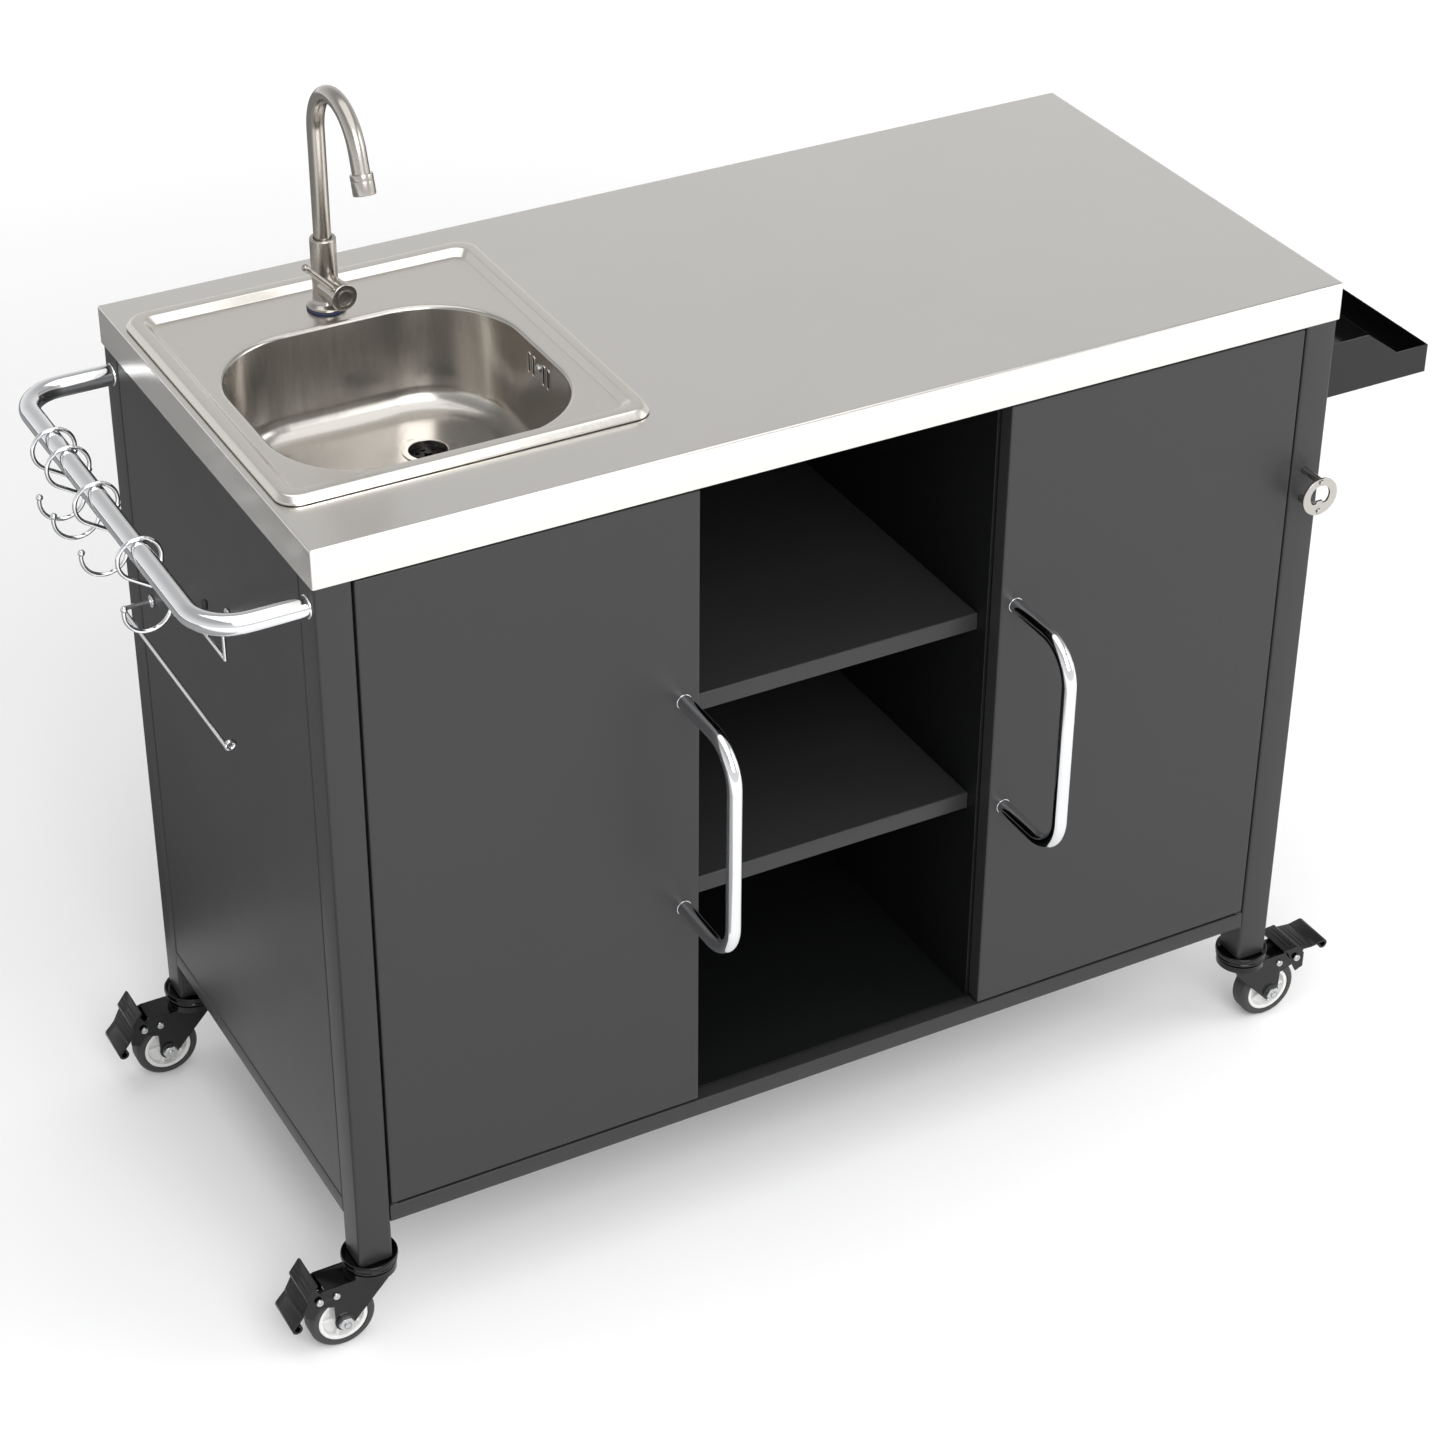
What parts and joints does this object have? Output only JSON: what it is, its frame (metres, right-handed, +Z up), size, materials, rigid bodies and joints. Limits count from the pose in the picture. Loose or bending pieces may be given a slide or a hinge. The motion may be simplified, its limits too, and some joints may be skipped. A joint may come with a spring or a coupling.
{
  "type": "portable handwash sink cart",
  "caption": "Wheeled steel cabinet with stainless worktop, drop-in sink, gooseneck tap, open middle shelves, side doors, towel rail and tray",
  "frame": {"origin": "on the floor below the middle of the cabinet", "axes": "+X to the right along the worktop, -Y is the front with the doors, +Z up"},
  "size_m": [1.4357, 0.6751, 1.239],
  "materials": {
    "worktop_steel": "brushed stainless sheet",
    "sink_steel": "satin stainless, polished rim",
    "tap_steel": "brushed stainless",
    "chrome": "polished chrome plating",
    "cabinet_paint": "satin charcoal powder coat",
    "black_paint": "semi-gloss black coating",
    "tyre_rubber": "dark grey polyurethane tread",
    "wheel_plastic": "moulded wheel centre",
    "white_plastic": "moulded waste fittings",
    "seal_rubber": "soft sealing strip",
    "brass": "plain brass",
    "bright_steel": "zinc plated or polished steel",
    "magnet_black": "moulded magnet housing"
  },
  "bodies": {
    "cart": {"countertop": "worktop_steel", "top_battens": "cabinet_paint", "sink_basin": "sink_steel", "sink_seal": "seal_rubber", "sink_clips": "bright_steel", "drain_flange": "sink_steel", "drain_nut": "white_plastic", "bottle_trap": "white_plastic", "overflow_housing": "white_plastic", "faucet_gasket": "seal_rubber", "faucet_body": "tap_steel", "faucet_nut": "brass", "side_frame_left": "cabinet_paint", "side_frame_right": "cabinet_paint", "cross_rails": "cabinet_paint", "side_panel_left": "cabinet_paint", "side_panel_right": "cabinet_paint", "back_panel": "cabinet_paint", "floor_panel": "cabinet_paint", "divider_left": "cabinet_paint", "divider_right": "cabinet_paint", "shelf_upper": "cabinet_paint", "shelf_lower": "cabinet_paint", "hinge_pins": "bright_steel", "door_magnets": "magnet_black", "towel_bar": "chrome", "paper_rod": "chrome", "prong_hook": "chrome", "side_tray": "black_paint", "bottle_opener": "bright_steel", "frame_screws": "bright_steel", "caster_stems": "black_paint"},
    "spout_arm": {"spout": "tap_steel", "aerator": "tap_steel"},
    "tap_valve": {"valve_handle": "tap_steel"},
    "strainer": {"strainer_basket": "sink_steel"},
    "left_door": {"door_left": "cabinet_paint", "handle_left": "chrome"},
    "right_door": {"door_right": "cabinet_paint", "handle_right": "chrome"},
    "hook_1": {"s_hook_1": "chrome"},
    "hook_2": {"s_hook_2": "chrome"},
    "hook_3": {"s_hook_3": "chrome"},
    "hook_4": {"s_hook_4": "chrome"},
    "caster_fl": {"fork_fl": "black_paint"},
    "wheel_fl": {"tyre_fl": "tyre_rubber", "hub_fl": "wheel_plastic"},
    "brake_fl": {"pedal_fl": "black_paint"},
    "caster_fr": {"fork_fr": "black_paint"},
    "wheel_fr": {"tyre_fr": "tyre_rubber", "hub_fr": "wheel_plastic"},
    "brake_fr": {"pedal_fr": "black_paint"},
    "caster_bl": {"fork_bl": "black_paint"},
    "wheel_bl": {"tyre_bl": "tyre_rubber", "hub_bl": "wheel_plastic"},
    "brake_bl": {"pedal_bl": "black_paint"},
    "caster_br": {"fork_br": "black_paint"},
    "wheel_br": {"tyre_br": "tyre_rubber", "hub_br": "wheel_plastic"},
    "brake_br": {"pedal_br": "black_paint"}
  },
  "joints": [
    {"name": "spout_swivel", "type": "hinge", "parent": "cart", "child": "spout_arm", "pos_m": [-0.376, 0.16, 1.1], "axis": [0, 0, 1], "range_deg": [-100, 100]},
    {"name": "valve_turn", "type": "hinge", "parent": "cart", "child": "tap_valve", "pos_m": [-0.376, 0.16, 1.006], "axis": [0.1392, -0.9903, 0], "range_deg": [-90, 0]},
    {"name": "strainer_lift", "type": "slide", "parent": "cart", "child": "strainer", "axis": [0, 0, 1], "range_m": [0, 0.06]},
    {"name": "left_door_hinge", "type": "hinge", "parent": "cart", "child": "left_door", "pos_m": [-0.5345, -0.271, 0.555], "axis": [0, 0, 1], "range_deg": [-105, 0]},
    {"name": "right_door_hinge", "type": "hinge", "parent": "cart", "child": "right_door", "pos_m": [0.5345, -0.271, 0.555], "axis": [0, 0, 1], "range_deg": [0, 80]},
    {"name": "hook_1_swing", "type": "hinge", "parent": "cart", "child": "hook_1", "pos_m": [-0.6792, 0.15, 0.908], "axis": [0, 1, 0], "range_deg": [-20, 20]},
    {"name": "hook_2_swing", "type": "hinge", "parent": "cart", "child": "hook_2", "pos_m": [-0.6792, 0.108, 0.908], "axis": [0, 1, 0], "range_deg": [-20, 20]},
    {"name": "hook_3_swing", "type": "hinge", "parent": "cart", "child": "hook_3", "pos_m": [-0.6792, 0.028, 0.908], "axis": [0, 1, 0], "range_deg": [-20, 20]},
    {"name": "hook_4_swing", "type": "hinge", "parent": "cart", "child": "hook_4", "pos_m": [-0.6792, -0.09, 0.908], "axis": [0, 1, 0], "range_deg": [-20, 20]},
    {"name": "swivel_fl", "type": "hinge", "parent": "cart", "child": "caster_fl", "pos_m": [-0.559, -0.256, 0.09], "axis": [0, 0, 1], "continuous": true},
    {"name": "roll_fl", "type": "hinge", "parent": "caster_fl", "child": "wheel_fl", "pos_m": [-0.597, -0.256, 0.037], "axis": [0, 1, 0], "continuous": true},
    {"name": "brake_lever_fl", "type": "hinge", "parent": "caster_fl", "child": "brake_fl", "pos_m": [-0.626, -0.256, 0.081], "axis": [0, 1, 0], "range_deg": [0, 57]},
    {"name": "swivel_fr", "type": "hinge", "parent": "cart", "child": "caster_fr", "pos_m": [0.559, -0.256, 0.09], "axis": [0, 0, 1], "continuous": true},
    {"name": "roll_fr", "type": "hinge", "parent": "caster_fr", "child": "wheel_fr", "pos_m": [0.597, -0.256, 0.037], "axis": [0, 1, 0], "continuous": true},
    {"name": "brake_lever_fr", "type": "hinge", "parent": "caster_fr", "child": "brake_fr", "pos_m": [0.626, -0.256, 0.081], "axis": [0, 1, 0], "range_deg": [0, 57]},
    {"name": "swivel_bl", "type": "hinge", "parent": "cart", "child": "caster_bl", "pos_m": [-0.559, 0.256, 0.09], "axis": [0, 0, 1], "continuous": true},
    {"name": "roll_bl", "type": "hinge", "parent": "caster_bl", "child": "wheel_bl", "pos_m": [-0.597, 0.256, 0.037], "axis": [0, 1, 0], "continuous": true},
    {"name": "brake_lever_bl", "type": "hinge", "parent": "caster_bl", "child": "brake_bl", "pos_m": [-0.626, 0.256, 0.081], "axis": [0, 1, 0], "range_deg": [0, 57]},
    {"name": "swivel_br", "type": "hinge", "parent": "cart", "child": "caster_br", "pos_m": [0.559, 0.256, 0.09], "axis": [0, 0, 1], "continuous": true},
    {"name": "roll_br", "type": "hinge", "parent": "caster_br", "child": "wheel_br", "pos_m": [0.597, 0.256, 0.037], "axis": [0, 1, 0], "continuous": true},
    {"name": "brake_lever_br", "type": "hinge", "parent": "caster_br", "child": "brake_br", "pos_m": [0.626, 0.256, 0.081], "axis": [0, 1, 0], "range_deg": [0, 57]}
  ]
}
